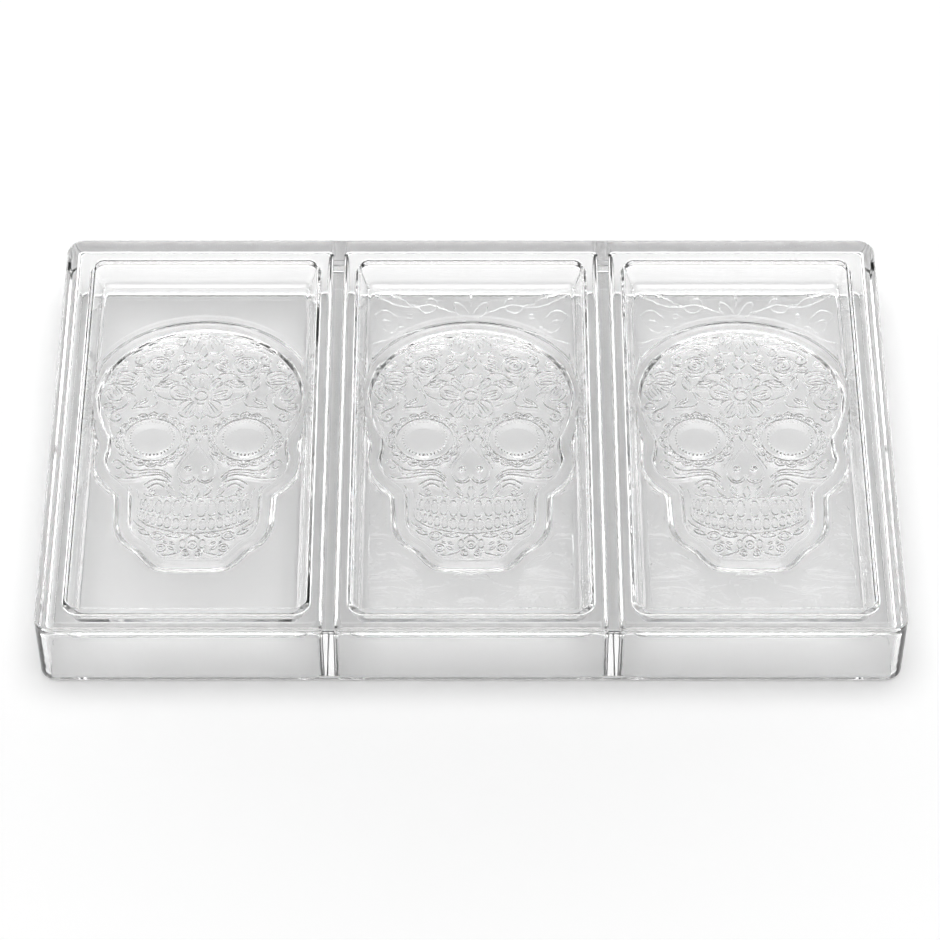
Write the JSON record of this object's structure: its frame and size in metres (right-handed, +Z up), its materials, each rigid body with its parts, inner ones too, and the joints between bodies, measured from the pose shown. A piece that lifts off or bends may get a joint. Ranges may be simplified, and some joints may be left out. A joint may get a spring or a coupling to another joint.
{
  "type": "skull chocolate mould",
  "caption": "Clear polycarbonate chocolate mould: a shallow tray with bar cavities that each hold a sugar skull figure cast in relief.",
  "frame": {"origin": "middle of the bottom rim, on the table", "axes": "+X along the row of cavities, +Y from the chins of the skulls to their crowns, +Z up out of the cavities"},
  "size_m": [0.275, 0.175, 0.025],
  "materials": {
    "clear_polycarbonate": "clear, polished on both faces"
  },
  "bodies": {
    "root": {"outer_skirt": "clear_polycarbonate", "top_deck": "clear_polycarbonate", "divider_rib_left": "clear_polycarbonate", "divider_rib_right": "clear_polycarbonate", "cavity_pan_left": "clear_polycarbonate", "cavity_pan_centre": "clear_polycarbonate", "cavity_pan_right": "clear_polycarbonate", "skull_relief_left": "clear_polycarbonate", "skull_relief_centre": "clear_polycarbonate", "skull_relief_right": "clear_polycarbonate"}
  },
  "joints": []
}
